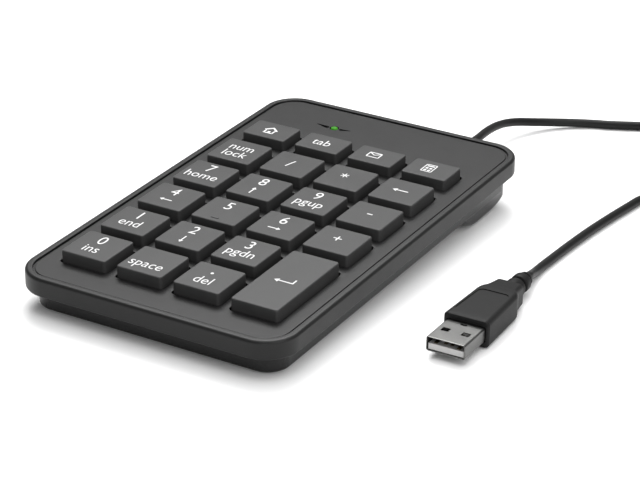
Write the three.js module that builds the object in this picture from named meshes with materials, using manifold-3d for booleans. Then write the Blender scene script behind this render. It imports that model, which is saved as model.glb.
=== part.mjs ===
// A wired numeric keypad with its USB plug. Millimetres, +Z up, +Y towards the back, origin on the desk
// under the middle of the case. The case is modelled level, with z = 0 at the deck, in a group that then
// tilts it back onto its feet; the cord and the plug lie on the desk.
import * as THREE from "three";
import { mergeVertices } from "three/addons/utils/BufferGeometryUtils.js";
import Module from "manifold-3d";

const wasm = await Module();
wasm.setup();

// Case: the top case is a shallow tray upside down, and the bottom case is stepped in under it.
const CASE = { width: 89.2, length: 149.3, corner: 10.6, rim: 0.4, bottom: -5.4, wall: 1.8, edge: 0.8 };
const DECK = { thickness: 1.6, band: 2.4, groove: 0.5, grooveDepth: 0.5 };
const BASE = { width: 82.6, length: 141.4, y: 0.25, corner: 6.9, bottom: -11.6, top: -1.9, wall: 1.6, edge: 0.8 };
const LEDGE = { bottom: -5.1, top: -4.1 };
const HUMP = { width: 82.2, bottom: -15.4, start: 38.3, flat: [49.6, 55], back: 70.8, rise: -6.5, edge: 1.2 };
const GAP = 0.3; // between pieces that touch

// Keys: the standard 19 mm pitch. Rows count from the front; the back row's keys are short.
const PITCH = 19;
const ROWS = 6;
const FRONT_ROW_Y = 20.5 - CASE.length / 2;
const KEY = { width: 15.2, depth: 14.8, shortDepth: 11, top: 3.5, shortTop: 3.2, corner: 0.9, edge: 0.35 };
const SKIRT = { bottom: -1.2, wall: 1.1 };
const CROWN = 1.4;
const PLUNGER = { side: 4.4, bottom: -4.7 };
const WELL = { clearance: 0.5, floorTop: -3.5, floorBottom: -4.5, wall: 1.2 };
const KEY_NAMES = [
  ["key_0", "key_space", "key_point"],
  ["key_1", "key_2", "key_3"],
  ["key_4", "key_5", "key_6", "key_plus"],
  ["key_7", "key_8", "key_9", "key_minus"],
  ["key_num_lock", "key_divide", "key_multiply", "key_backspace"],
  ["key_home", "key_tab", "key_mail", "key_calculator"],
];

// Electronics under the keys, from the floor of the bottom case upwards.
const SHEET = { width: 78, front: -61.8, back: 47.3 };
const BACKPLATE = { bottom: -9.6, thickness: 0.6 };
const FILM = { thickness: 0.1, bottoms: { lower: -8.75, spacer: -8.5, upper: -8.25 } };
const DOME_MAT = { bottom: -8, top: -7.6, crown: -6.95, radius: 3.4 };
const BOARD = { width: 60, front: 49.6, back: 61, bottom: -8.6, top: -7.4 };
const LIGHT = { x: -16, y: 58.7, radius: 1.1 };

// Fasteners, feet and the cord's way out.
const SCREW_X = [-34, 0, 34];
const SCREW_Y = { front: -65.7, rear: 64.9 };
const SCREW = { headTop: -9.7, headRadius: 2.2, headHeight: 1.4, shankRadius: 1.1, tip: -2.9 };
const BOSS = { radius: 2.8, pilot: 1.35, bottom: -7.1 };
const FOOT = { radius: 4.2, height: 1.3, proud: 0.6, frontX: 22, rearX: 31, front: -62.15, rear: 53.85 };
const EXIT = { x: 18, z: -8.7, radius: 2.3, inner: 67, wall: 70.95, end: 82.8 };

// The case leans back by this angle, front feet to rear feet, and stands this high at its middle.
const FOOT_DROP = BASE.bottom - HUMP.bottom;
const TILT = Math.atan(FOOT_DROP / (FOOT.rear - FOOT.front));
const STAND = FOOT.proud - Math.cos(TILT) * (BASE.bottom + Math.tan(TILT) * FOOT.front);
const CENTRING_Y = -0.08; // puts the middle of the tilted case over the origin

// Cord and plug.
const CORD = { radius: 1.4, sides: 8 };
const COIL = { x: 84.7, y: 139.1, inner: 9.2, outer: 21.6, bottom: 0.9, top: 12.3 };
const TIE = { width: 4, thickness: 0.6, angle: -75 };
const PLUG = { x: 74.8, y: -36.7, turn: 1, axis: 4.2 };
const SHELL = { width: 12, height: 4.5, length: 15, wall: 0.35 };
const MOULD = { front: 12.5, back: 32.5, shoulder: 35, neckBack: 41.5, end: 52.5, height: 8.4, cordAxis: 3.9 };
const MOULD_HALF = { front: 7.1, back: 6.3, shoulder: 4.7, neck: 4.1 }; // half widths at those stations

const FROM_CASE = [
  [18, 83.4, 8.25],
  [18.1, 89, 8.2],
  [17.9, 94, 8],
  [17.1, 102, 7.5],
  [16.8, 109.5, 6.7],
  [17.3, 115.9, 5.7],
  [19, 121.5, 4.6],
  [21.8, 126.4, 3.5],
  [25.8, 131.7, 2.5],
  [31, 136.7, 1.8],
  [37.5, 141, 1.45],
  [43.5, 143.5, 1.45],
  [51.5, 147.7, 1.45],
  [60, 151.6, 1.45],
  [66.5, 153.7, 1.6],
];
const FROM_PLUG = [
  [73.88, 16.3, 3.9],
  [73.7, 18, 3.6],
  [73.3, 20, 3],
  [72.7, 24, 2.1],
  [72.3, 29.5, 1.55],
  [72.4, 35.2, 1.45],
  [72.9, 48.1, 1.45],
  [73.7, 60.7, 1.45],
  [74.9, 72.9, 1.45],
  [76.4, 84.9, 1.45],
  [77.2, 90.5, 1.45],
  [79.6, 97.5, 1.45],
  [84.2, 104, 1.45],
  [90.8, 108.6, 1.45],
  [97.6, 112.4, 1.6],
  [103.2, 117.6, 2.9],
  [106, 123.6, 5],
  [106.5, 129.5, 7],
];

const plastic = (color, roughness) => new THREE.MeshStandardMaterial({ color, roughness, metalness: 0 });
const metal = (color, roughness) => new THREE.MeshStandardMaterial({ color, roughness, metalness: 1 });
const MATERIAL = {
  caseTop: plastic(0x2b2b2b, 0.6),
  caseBottom: plastic(0x242424, 0.5),
  keycap: plastic(0x343434, 0.6),
  rubber: plastic(0x1c1c1c, 0.8),
  film: plastic(0xd9dcd2, 0.4),
  board: plastic(0x1f5a34, 0.5),
  chip: plastic(0x161616, 0.5),
  light: plastic(0x58c832, 0.3),
  white: plastic(0xe6e6e2, 0.5),
  steel: metal(0xb4b6b8, 0.35),
  gold: metal(0xd0a850, 0.3),
};

// ---- solids: three.js makes every shape, and manifold-3d joins and cuts them ----

function solid(geometry) {
  const bare = geometry.clone();
  bare.deleteAttribute("normal");
  bare.deleteAttribute("uv");
  const merged = mergeVertices(bare, 1e-4);
  const vertProperties = merged.attributes.position.array;
  const triVerts = new Uint32Array(merged.index.array);
  return new wasm.Manifold(new wasm.Mesh({ numProp: 3, vertProperties, triVerts }));
}

function geometryOf(shape) {
  const { vertProperties, triVerts } = shape.getMesh();
  return new THREE.BufferGeometry()
    .setAttribute("position", new THREE.BufferAttribute(vertProperties, 3))
    .setIndex(new THREE.BufferAttribute(triVerts, 1));
}

function piece(name, shape, material) {
  const made = shape.isBufferGeometry ? shape : geometryOf(shape);
  const faceted = made.index ? made.toNonIndexed() : made;
  faceted.computeVertexNormals();
  const mesh = new THREE.Mesh(faceted, material);
  mesh.name = name;
  return mesh;
}

function roundedRectangle(width, length, radius) {
  const x = width / 2 - radius;
  const y = length / 2 - radius;
  const outline = new THREE.Shape();
  outline.absarc(x, y, radius, 0, Math.PI / 2);
  outline.absarc(-x, y, radius, Math.PI / 2, Math.PI);
  outline.absarc(-x, -y, radius, Math.PI, 1.5 * Math.PI);
  outline.absarc(x, -y, radius, 1.5 * Math.PI, 2 * Math.PI);
  return outline;
}

// An outline in the XY plane raised from one height to another, its two rims bevelled by `edge`.
function slab(outline, bottom, top, { edge = 0, steps = 1, curve = 4 } = {}) {
  const made = new THREE.ExtrudeGeometry(outline, {
    depth: top - bottom - 2 * edge,
    bevelEnabled: edge > 0,
    bevelSize: edge,
    bevelOffset: -edge,
    bevelThickness: edge,
    bevelSegments: steps,
    curveSegments: curve,
  });
  return made.translate(0, 0, bottom + edge);
}

function block([x0, x1], [y0, y1], [z0, z1]) {
  const made = new THREE.BoxGeometry(x1 - x0, y1 - y0, z1 - z0);
  return solid(made.translate((x0 + x1) / 2, (y0 + y1) / 2, (z0 + z1) / 2));
}

function post(x, y, radius, bottom, top, sides = 12) {
  const made = new THREE.CylinderGeometry(radius, radius, top - bottom, sides).rotateX(Math.PI / 2);
  return solid(made.translate(x, y, (bottom + top) / 2));
}

// A turned piece from [radius, station] pairs, its axis along +Y.
const turned = (profile, sides) =>
  new THREE.LatheGeometry(profile.map(([r, s]) => new THREE.Vector2(r, s)), sides);

// ---- the keys' plan ----

const columnX = (column) => (column - 1.5) * PITCH;
const rowY = (row) => FRONT_ROW_Y + row * PITCH;

// Every key as { name, x, y, depth, top }: the enter key fills the last column of the two front rows.
function keyPlan() {
  const keys = [];
  KEY_NAMES.forEach((names, row) => {
    const short = row === ROWS - 1;
    names.forEach((name, column) => {
      const depth = short ? KEY.shortDepth : KEY.depth;
      keys.push({ name, x: columnX(column), y: rowY(row), depth, top: short ? KEY.shortTop : KEY.top });
    });
  });
  keys.push({ name: "key_enter", x: columnX(3), y: rowY(0.5), depth: PITCH + KEY.depth, top: KEY.top });
  return keys;
}
const KEYS = keyPlan();
const ENTER = KEYS.at(-1);
const SCREWS = [SCREW_Y.front, SCREW_Y.rear].flatMap((y) => SCREW_X.map((x) => ({ x, y })));

// ---- case ----

// The case's plan drawn in by `inset` all round.
const casePlan = (inset) =>
  roundedRectangle(CASE.width - 2 * inset, CASE.length - 2 * inset, CASE.corner - inset);

// A slab of the bottom case's plan drawn in by `inset` all round.
function baseSlab(inset, bottom, top, options) {
  const plan = roundedRectangle(BASE.width - 2 * inset, BASE.length - 2 * inset, BASE.corner - inset);
  return solid(slab(plan, bottom, top, options).translate(0, BASE.y, 0));
}

function wells() {
  const around = (middle, half) => [middle - half, middle + half];
  const hole = PLUNGER.side / 2 + GAP;
  return KEYS.map(({ x, y, depth }) => {
    const xs = around(x, KEY.width / 2 + WELL.clearance);
    const ys = around(y, depth / 2 + WELL.clearance);
    const well = block(xs, ys, [WELL.floorTop, 1]);
    return well.add(block(around(x, hole), around(y, hole), [-5, -3]));
  });
}

function topCase() {
  const groove = DECK.band + DECK.groove;
  let made = solid(slab(casePlan(0), CASE.bottom, CASE.rim, { edge: CASE.edge, steps: 2, curve: 4 }))
    .subtract(solid(slab(casePlan(DECK.band), -DECK.grooveDepth, 1, { curve: 4 })))
    .add(solid(slab(casePlan(groove), -1, 0, { curve: 4 })))
    .subtract(solid(slab(casePlan(CASE.wall), CASE.bottom - 1, -DECK.thickness)));
  const halfWidth = columnX(3) + KEY.width / 2 + WELL.clearance + WELL.wall;
  const front = rowY(0) - KEY.depth / 2 - WELL.clearance - WELL.wall;
  const back = rowY(ROWS - 1) + KEY.shortDepth / 2 + WELL.clearance + WELL.wall;
  made = made.add(block([-halfWidth, halfWidth], [front, back], [WELL.floorBottom, -1]));
  for (const { x, y } of SCREWS) made = made.add(post(x, y, BOSS.radius, BOSS.bottom, -1));
  for (const { x, y } of SCREWS) made = made.subtract(post(x, y, BOSS.pilot, BOSS.bottom - 1, -2.4, 8));
  for (const well of wells()) made = made.subtract(well);
  made = made.subtract(post(LIGHT.x, LIGHT.y, LIGHT.radius + GAP, -3, 1));
  return piece("top_case", made, MATERIAL.caseTop);
}

// The side view of the rear hump, closed at height `top`.
function humpProfile(top) {
  const { bottom, start, flat, back, rise } = HUMP;
  const outline = new THREE.Shape();
  outline.moveTo(start, top);
  outline.lineTo(start, BASE.bottom + 0.9);
  outline.quadraticCurveTo(start + 3.8, bottom, flat[0], bottom);
  outline.lineTo(flat[1], bottom);
  outline.quadraticCurveTo(back, bottom, back, rise);
  outline.lineTo(back, top);
  return outline;
}

// The hump's side view runs the width of the bottom case, its two ends rounded.
function hump() {
  const made = new THREE.ExtrudeGeometry(humpProfile(-4), {
    depth: HUMP.width - 2 * HUMP.edge,
    bevelEnabled: true,
    bevelSize: HUMP.edge,
    bevelOffset: -HUMP.edge,
    bevelThickness: HUMP.edge,
    bevelSegments: 2,
    curveSegments: 5,
  });
  made.translate(0, 0, -HUMP.width / 2 + HUMP.edge);
  // (side view x, side view y, extrusion) turn into (y, z, x)
  const axes = new THREE.Matrix4().set(0, 0, 1, 0, 1, 0, 0, 0, 0, 1, 0, 0, 0, 0, 0, 1);
  return solid(made.applyMatrix4(axes));
}

function bottomCase() {
  const above = block([-60, 60], [-90, 90], [BASE.top, 10]);
  let made = baseSlab(0, BASE.bottom, 4, { edge: BASE.edge, steps: 2 })
    .add(hump().intersect(baseSlab(0, -20, 4)))
    .add(solid(slab(casePlan(CASE.wall + GAP), LEDGE.bottom, LEDGE.top)))
    .subtract(above)
    .subtract(baseSlab(BASE.wall, BASE.bottom + BASE.wall, 4))
    .subtract(block([-37, 37], [42.6, 60.8], [HUMP.bottom + 1.8, -9]));
  for (const { x, y } of SCREWS) {
    made = made.add(post(x, y, 3.6, BASE.bottom + 0.2, BOSS.bottom - GAP));
  }
  for (const { x, y } of SCREWS) {
    made = made.subtract(post(x, y, SCREW.shankRadius + GAP, -12, -5, 8));
    made = made.subtract(post(x, y, SCREW.headRadius + GAP, -17, SCREW.headTop + GAP));
  }
  for (const x of [-24, 24]) made = made.add(block([x - 0.8, x + 0.8], [48.6, 61.6], [-14, BOARD.bottom - GAP]));
  for (const foot of footPlaces()) {
    made = made.subtract(post(foot.x, foot.y, FOOT.radius + GAP, foot.z - 1, foot.z + 1.1, 16));
  }
  const way = new THREE.CylinderGeometry(EXIT.radius + GAP, EXIT.radius + GAP, 20, 12);
  made = made.subtract(solid(way.translate(EXIT.x, EXIT.wall - 1, EXIT.z)));
  return piece("bottom_case", made, MATERIAL.caseBottom);
}

// The feet stand under the level front of the bottom case and under the hump.
function footPlaces() {
  const along = (y, x, z) => [-x, x].map((side) => ({ x: side, y, z }));
  return [...along(FOOT.front, FOOT.frontX, BASE.bottom), ...along(FOOT.rear, FOOT.rearX, HUMP.bottom)];
}

// A foot stands upright on the desk, so it is placed outside the tilted group.
function foot({ x, y, z }, index) {
  const profile = [
    [0, 0],
    [FOOT.radius - 0.3, 0],
    [FOOT.radius, 0.3],
    [FOOT.radius, FOOT.height],
    [0, FOOT.height],
  ];
  const pad = piece("foot_" + (index + 1), turned(profile, 16).rotateX(Math.PI / 2), MATERIAL.rubber);
  pad.position.set(x, y * Math.cos(TILT) - (z - FOOT.proud) * Math.sin(TILT) + CENTRING_Y, 0);
  return pad;
}

function screw({ x, y }, index) {
  const head = post(x, y, SCREW.headRadius, SCREW.headTop - SCREW.headHeight, SCREW.headTop);
  const slot = block([x - 1.5, x + 1.5], [y - 0.35, y + 0.35], [-20, SCREW.headTop - 0.8]);
  const cross = block([x - 0.35, x + 0.35], [y - 1.5, y + 1.5], [-20, SCREW.headTop - 0.8]);
  const shank = post(x, y, SCREW.shankRadius, SCREW.headTop - 0.3, SCREW.tip, 8);
  return piece("case_screw_" + (index + 1), head.add(shank).subtract(slot.add(cross)), MATERIAL.steel);
}

// ---- keys ----

function keycap({ name, x, y, depth, top }) {
  const plan = roundedRectangle(KEY.width, depth, KEY.corner);
  const outside = solid(slab(plan, SKIRT.bottom, top, { edge: KEY.edge, curve: 1 }));
  const halfWidth = KEY.width / 2 - SKIRT.wall;
  const halfDepth = depth / 2 - SKIRT.wall;
  const inside = block([-halfWidth, halfWidth], [-halfDepth, halfDepth], [-9, top - CROWN]);
  const half = PLUNGER.side / 2;
  const plunger = block([-half, half], [-half, half], [PLUNGER.bottom, top - CROWN / 2]);
  const cap = piece(name, outside.subtract(inside).add(plunger), MATERIAL.keycap);
  cap.position.set(x, y, 0);
  return cap;
}

// A bent wire that keeps the tall enter key level. It lies on the floor of the key's well.
function enterStabiliser() {
  const wire = 0.5;
  const x = ENTER.x + 4.8;
  const reach = ENTER.depth / 2 - 3.4;
  const z = WELL.floorTop + wire + 0.1;
  const route = [
    [x - 4.5, -reach],
    [x - 1, -reach],
    [x, -reach + 1],
    [x, 0],
    [x, reach - 1],
    [x - 1, reach],
    [x - 4.5, reach],
  ].map(([px, py]) => new THREE.Vector3(px, ENTER.y + py, z));
  return piece("enter_stabiliser", tube(route, wire, 6, 12), MATERIAL.steel);
}

// ---- electronics ----

function sheet(name, bottom, thickness, material) {
  const half = SHEET.width / 2;
  return piece(name, block([-half, half], [SHEET.front, SHEET.back], [bottom, bottom + thickness]), material);
}

function domeMat() {
  const half = SHEET.width / 2;
  let made = block([-half, half], [SHEET.front, SHEET.back], [DOME_MAT.bottom, DOME_MAT.top]);
  const height = DOME_MAT.crown - DOME_MAT.bottom - 0.1;
  for (const { x, y } of KEYS) {
    const dome = new THREE.CylinderGeometry(DOME_MAT.radius - 1.6, DOME_MAT.radius, height, 6);
    dome.rotateX(Math.PI / 2).translate(x, y, DOME_MAT.crown - height / 2);
    made = made.add(solid(dome));
  }
  return piece("dome_mat", made, MATERIAL.rubber);
}

function controllerBoard() {
  const half = BOARD.width / 2;
  const made = block([-half, half], [BOARD.front, BOARD.back], [BOARD.bottom, BOARD.top]);
  return piece("controller_board", made, MATERIAL.board);
}

const controllerChip = () =>
  piece("controller_chip", block([2, 9], [52.3, 59.3], [BOARD.top + GAP, BOARD.top + 1.3]), MATERIAL.chip);

function statusDiode() {
  const { x, y } = LIGHT;
  const made = block([x - 0.8, x + 0.8], [y - 0.4, y + 0.4], [BOARD.top + GAP, BOARD.top + 1]);
  return piece("status_diode", made, MATERIAL.light);
}

const statusLens = () =>
  piece("status_lens", post(LIGHT.x, LIGHT.y, LIGHT.radius, BOARD.top + 1.4, 0.1, 16), MATERIAL.light);

// ---- cord ----

function tube(route, radius, sides, steps) {
  const section = new THREE.Shape();
  section.absarc(0, 0, radius, 0, 2 * Math.PI);
  const extrudePath = new THREE.CatmullRomCurve3(route, false, "catmullrom", 0.5);
  return new THREE.ExtrudeGeometry(section, { steps, curveSegments: sides / 2, extrudePath });
}

function cordTube(name, route) {
  const points = route.map((p) => new THREE.Vector3(...p));
  const steps = Math.round(1.6 * route.length);
  return piece(name, tube(points, CORD.radius, CORD.sides, steps), MATERIAL.rubber);
}

function strainRelief() {
  const { radius, inner, wall, end, x, z } = EXIT;
  const profile = [
    [0, inner],
    [radius, inner],
    [radius, wall + 1],
    [CORD.radius + 0.5, end - 0.4],
    [CORD.radius + 0.3, end],
    [0, end],
  ];
  return piece("strain_relief", turned(profile, 12).translate(x, 0, z), MATERIAL.rubber);
}

function cordCoil() {
  const { inner, outer, bottom, top, x, y } = COIL;
  const edge = 1;
  const profile = [
    [inner, bottom + edge],
    [inner + edge, bottom],
    [outer - edge, bottom],
    [outer, bottom + edge],
    [outer, top - edge],
    [outer - edge, top],
    [inner + edge, top],
    [inner, top - edge],
    [inner, bottom + edge],
  ];
  return piece("cord_coil", turned(profile, 28).rotateX(Math.PI / 2).translate(x, y, 0), MATERIAL.rubber);
}

// A flat strap closed round the coil's turns; its lower run lies on the desk.
function coilTie() {
  const { width, thickness, angle } = TIE;
  const clear = COIL.bottom - thickness;
  const middle = [(COIL.inner + COIL.outer) / 2, (COIL.bottom + COIL.top) / 2];
  const size = [COIL.outer - COIL.inner + 2 * clear, COIL.top - COIL.bottom + 2 * clear];
  const strap = roundedRectangle(size[0] + 2 * thickness, size[1] + 2 * thickness, 2);
  const hole = roundedRectangle(size[0], size[1], 1.2);
  strap.holes.push(new THREE.Path(hole.getPoints(3)));
  const made = slab(strap, -width / 2, width / 2, { curve: 3 }).translate(...middle, 0);
  made.rotateX(Math.PI / 2).rotateZ(THREE.MathUtils.degToRad(angle)).translate(COIL.x, COIL.y, 0);
  return piece("coil_tie", made, MATERIAL.rubber);
}

// ---- plug: y = 0 at its mouth, the cord leaves at MOULD.end ----

function plugShell() {
  const { width, height, length, wall } = SHELL;
  const low = PLUG.axis - height / 2;
  const outline = roundedRectangle(width, height, 0.6);
  outline.holes.push(new THREE.Path(roundedRectangle(width - 2 * wall, height - 2 * wall, 0.3).getPoints(1)));
  const made = slab(outline, 0, length, { curve: 1 }).rotateX(-Math.PI / 2).translate(0, 0, PLUG.axis);
  let shell = solid(made);
  for (const x of [-3.1, 3.1]) {
    shell = shell.subtract(block([x - 1.2, x + 1.2], [5.2, 7.3], [low - 1, low + height + 1]));
  }
  shell = shell.subtract(block([-1, 1], [10.7, 11.6], [PLUG.axis, low + height + 1]));
  return piece("plug_shell", shell, MATERIAL.steel);
}

const TONGUE_TOP = PLUG.axis + 0.05;

function plugTongue() {
  const low = PLUG.axis - SHELL.height / 2 + SHELL.wall + 0.15;
  return piece("plug_tongue", block([-5.4, 5.4], [0.5, SHELL.length - 0.5], [low, TONGUE_TOP]), MATERIAL.white);
}

function plugContact(index) {
  const x = [-3.5, -1, 1, 3.5][index];
  const long = index % 3 === 0 ? 1 : 2;
  const made = block([x - 0.5, x + 0.5], [long, 9.5], [TONGUE_TOP + 0.1, TONGUE_TOP + 0.3]);
  return piece("plug_contact_" + (index + 1), made, MATERIAL.gold);
}

// The grip seen from above, tapering back to rounded shoulders.
function gripPlan() {
  const { front, back, shoulder } = MOULD;
  const half = MOULD_HALF;
  const plan = new THREE.Shape();
  plan.moveTo(-half.front, front);
  plan.lineTo(half.front, front);
  plan.lineTo(half.back, back);
  plan.quadraticCurveTo(half.back - 0.2, shoulder - 0.4, half.shoulder, shoulder);
  plan.lineTo(-half.shoulder, shoulder);
  plan.quadraticCurveTo(0.2 - half.back, shoulder - 0.4, -half.back, back);
  return plan;
}

function plugMould() {
  const { front, back, height, neckBack, end, cordAxis } = MOULD;
  const neck = new THREE.Shape();
  neck.moveTo(-MOULD_HALF.shoulder, back);
  neck.lineTo(MOULD_HALF.shoulder, back);
  neck.lineTo(MOULD_HALF.neck, neckBack);
  neck.lineTo(-MOULD_HALF.neck, neckBack);
  const rings = [
    [0, neckBack - 1],
    [2.2, neckBack - 1],
    [2.2, neckBack + 0.5],
    [3, neckBack + 1],
    [3, neckBack + 4.4],
    [2.4, neckBack + 4.8],
    [2.4, neckBack + 5.5],
    [2.9, neckBack + 5.9],
    [2.8, neckBack + 9],
    [CORD.radius + 0.5, neckBack + 10],
    [CORD.radius + 0.3, end],
    [0, end],
  ];
  const panel = slab(roundedRectangle(9.8, 15.5, 1), height - 0.3, height + 1, { curve: 1 });
  const pocket = [SHELL.width / 2 + 0.2, SHELL.height / 2 + 0.2];
  const made = solid(slab(gripPlan(), 0, height, { edge: 1.2, steps: 2 }))
    .add(solid(slab(neck, 0.6, height - 0.9, { edge: 1, steps: 1 })))
    .add(solid(turned(rings, 14).translate(0, 0, cordAxis)))
    .subtract(solid(panel.translate(0, 23.5, 0)))
    .subtract(
      block([-pocket[0], pocket[0]], [front - 1, SHELL.length + GAP], [
        PLUG.axis - pocket[1],
        PLUG.axis + pocket[1],
      ]),
    );
  return piece("plug_overmould", made, MATERIAL.rubber);
}

// ---- the whole object ----

const keypad = new THREE.Group();
keypad.add(
  topCase(),
  bottomCase(),
  sheet("backplate", BACKPLATE.bottom, BACKPLATE.thickness, MATERIAL.steel),
  sheet("membrane_lower", FILM.bottoms.lower, FILM.thickness, MATERIAL.film),
  sheet("membrane_spacer", FILM.bottoms.spacer, FILM.thickness, MATERIAL.film),
  sheet("membrane_upper", FILM.bottoms.upper, FILM.thickness, MATERIAL.film),
  domeMat(),
  controllerBoard(),
  controllerChip(),
  statusDiode(),
  statusLens(),
  enterStabiliser(),
  strainRelief(),
  ...KEYS.map(keycap),
  ...SCREWS.map(screw),
);
keypad.rotation.x = TILT;
keypad.position.set(0, CENTRING_Y, STAND);

const plug = new THREE.Group();
plug.add(plugShell(), plugTongue(), ...[0, 1, 2, 3].map(plugContact), plugMould());
plug.position.set(PLUG.x, PLUG.y, 0);
plug.rotation.z = THREE.MathUtils.degToRad(PLUG.turn);

const root = new THREE.Group();
root.add(
  keypad,
  ...footPlaces().map(foot),
  plug,
  cordTube("cord_case_end", FROM_CASE),
  cordTube("cord_plug_end", FROM_PLUG),
  cordCoil(),
  coilTie(),
);
export default root;
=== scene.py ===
"""A wired numeric keypad with its USB plug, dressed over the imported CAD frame."""

import math

import bmesh
import bpy
from mathutils import Matrix, Vector
from mathutils.geometry import tessellate_polygon


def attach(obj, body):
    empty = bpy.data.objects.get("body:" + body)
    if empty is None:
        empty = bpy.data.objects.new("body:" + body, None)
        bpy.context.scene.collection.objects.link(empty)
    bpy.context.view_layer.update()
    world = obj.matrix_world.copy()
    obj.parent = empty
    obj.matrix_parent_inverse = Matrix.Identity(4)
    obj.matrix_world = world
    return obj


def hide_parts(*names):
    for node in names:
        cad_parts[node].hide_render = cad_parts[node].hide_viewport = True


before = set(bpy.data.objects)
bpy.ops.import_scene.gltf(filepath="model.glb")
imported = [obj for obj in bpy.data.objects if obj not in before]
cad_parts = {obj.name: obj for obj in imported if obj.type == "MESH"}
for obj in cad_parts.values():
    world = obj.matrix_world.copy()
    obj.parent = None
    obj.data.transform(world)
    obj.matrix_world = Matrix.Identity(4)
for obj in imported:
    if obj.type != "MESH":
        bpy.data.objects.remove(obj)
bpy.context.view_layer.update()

MM = 0.001

# Sizes are in millimetres. The case's own frame is level, with z = 0 at the deck. The sizes follow the
# CAD's. The groove and the edges are finer, and the hump ends just short of the tray's sides, so that no
# faces coincide.
CASE = {"width": 89.2, "length": 149.3, "corner": 10.6, "rim": 0.4, "bottom": -5.4, "wall": 1.8}
DECK_UNDERSIDE = -1.6
BAND = 2.4  # width of the raised band round the deck
GROOVE = {"width": 0.42, "depth": 0.26, "round": 0.3}
BASE = {"width": 82.6, "length": 141.4, "y": 0.25, "corner": 6.9, "bottom": -11.6, "top": -1.9, "wall": 1.6}
HUMP = {"width": 82.5, "bottom": -15.4, "start": 38.3, "flat": (49.6, 55), "back": 70.8, "rise": -6.5}
HUMP_TOP = -4
PITCH = 19
FRONT_ROW_Y = 20.5 - CASE["length"] / 2
KEY = {"width": 15.2, "depth": 14.8, "short": 11, "top": 3.5, "short_top": 3.2, "corner": 0.9, "wall": 1.1}
SKIRT_BOTTOM = -1.2
PLUNGER = {"half": 2.2, "clearance": 0.3, "end": -4.7, "chamfer": 0.3}
WELL = {"clearance": 0.5, "floor": -3.5, "bottom": -4.5, "wall": 1.2}
LIGHT = (-16, 58.7)
LENS = {"radius": 1.15, "hole": 1.4, "bottom": -5.9, "shoulder": -0.1, "top": 0.4}
# the strokes beside the light: the wide end's x and y, the narrow end's, then both widths
STROKES = [(-18.5, 58.4, -22.4, 59.1, 1.5, 0.3), (-13.55, 58.6, -10.6, 59.3, 1.3, 0.3)]
STROKE_DEPTH = 0.6
FOOT = {"radius": 4.2, "height": 1.3, "proud": 0.6}
FRONT_FEET = (22, -62.15)
REAR_FEET = (31, 53.85)
EXIT = {"x": 18, "z": -8.7, "radius": 2.6}
SCREW_Y = (-65.7, 64.9)
SCREW_X = (-34, 0, 34)
POST = {"radius": 2.3, "bottom": -7.1, "hole": 1.35, "hole_top": -2.4}
SCREW_BORE = {"radius": 2.5, "top": -9.4}
PLUG = {"x": 74.8, "y": -36.7, "turn": 1, "axis": 4.2, "cord_axis": 3.9}
CORD_RADIUS = 1.4
COIL = {"x": 84.7, "y": 139.1, "inner": 9.2, "outer": 21.6, "bottom": 0.9, "top": 12.3}

CASE_Y = -0.08
TILT = math.atan((BASE["bottom"] - HUMP["bottom"]) / (REAR_FEET[1] - FRONT_FEET[1]))
STAND = FOOT["proud"] - math.cos(TILT) * (BASE["bottom"] + math.tan(TILT) * FRONT_FEET[1])
IN_CASE = (
    Matrix.Translation((0, CASE_Y * MM, STAND * MM)) @ Matrix.Rotation(TILT, 4, "X") @ Matrix.Scale(MM, 4)
)
ON_DESK = Matrix.Scale(MM, 4)
IN_PLUG = (
    Matrix.Translation((PLUG["x"] * MM, PLUG["y"] * MM, 0))
    @ Matrix.Rotation(math.radians(PLUG["turn"]), 4, "Z")
    @ Matrix.Scale(MM, 4)
)

# ---- camera ----

scene = bpy.context.scene
scene.view_settings.view_transform = "Standard"

LENS_MM = 134.6
CAMERA_PLACE = (0.33537, -0.55778, 0.30674)
CAMERA_TOWARDS = (-0.45329, 0.7852, -0.42189)
CAMERA_ROLL = 1.139  # degrees


def add_camera():
    data = bpy.data.cameras.new("camera")
    data.lens = LENS_MM
    data.sensor_width = 36
    data.clip_start = 0.01
    camera = bpy.data.objects.new("camera", data)
    scene.collection.objects.link(camera)
    turn = Vector(CAMERA_TOWARDS).to_track_quat("-Z", "Y").to_matrix().to_4x4()
    roll = Matrix.Rotation(math.radians(CAMERA_ROLL), 4, "Z")
    camera.matrix_world = Matrix.Translation(CAMERA_PLACE) @ turn @ roll
    scene.camera = camera


add_camera()

# ---- cord ----

# the cord's route where it isn't coiled: the stretch from the case, then the one from the plug
FROM_CASE = [
    (18, 83.4, 8.25),
    (18.1, 89, 8.2),
    (17.9, 94, 8),
    (17.1, 102, 7.5),
    (16.8, 109.5, 6.7),
    (17.3, 115.9, 5.7),
    (19, 121.5, 4.6),
    (21.8, 126.4, 3.5),
    (25.8, 131.7, 2.5),
    (31, 136.7, 1.8),
    (37.5, 141, 1.45),
    (43.5, 143.5, 1.45),
    (51.5, 147.7, 1.45),
    (60, 151.6, 1.45),
    (66.5, 153.7, 1.6),
]
FROM_PLUG = [
    (73.88, 16.3, 3.9),
    (73.7, 18, 3.6),
    (73.3, 20, 3),
    (72.7, 24, 2.1),
    (72.3, 29.5, 1.55),
    (72.4, 35.2, 1.45),
    (72.9, 48.1, 1.45),
    (73.7, 60.7, 1.45),
    (74.9, 72.9, 1.45),
    (76.4, 84.9, 1.45),
    (77.2, 90.5, 1.45),
    (79.6, 97.5, 1.45),
    (84.2, 104, 1.45),
    (90.8, 108.6, 1.45),
    (97.6, 112.4, 1.6),
    (103.2, 117.6, 2.9),
    (106, 123.6, 5),
    (106.5, 129.5, 7),
]
BESIDE_COIL = (107, 137, 9.6)  # clear of the turns below, on the way down from the top layer
COIL_START = 109  # degrees round the coil, anticlockwise from +X, where the cord goes in
COIL_END = 14
COIL_TURNS = 13
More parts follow.
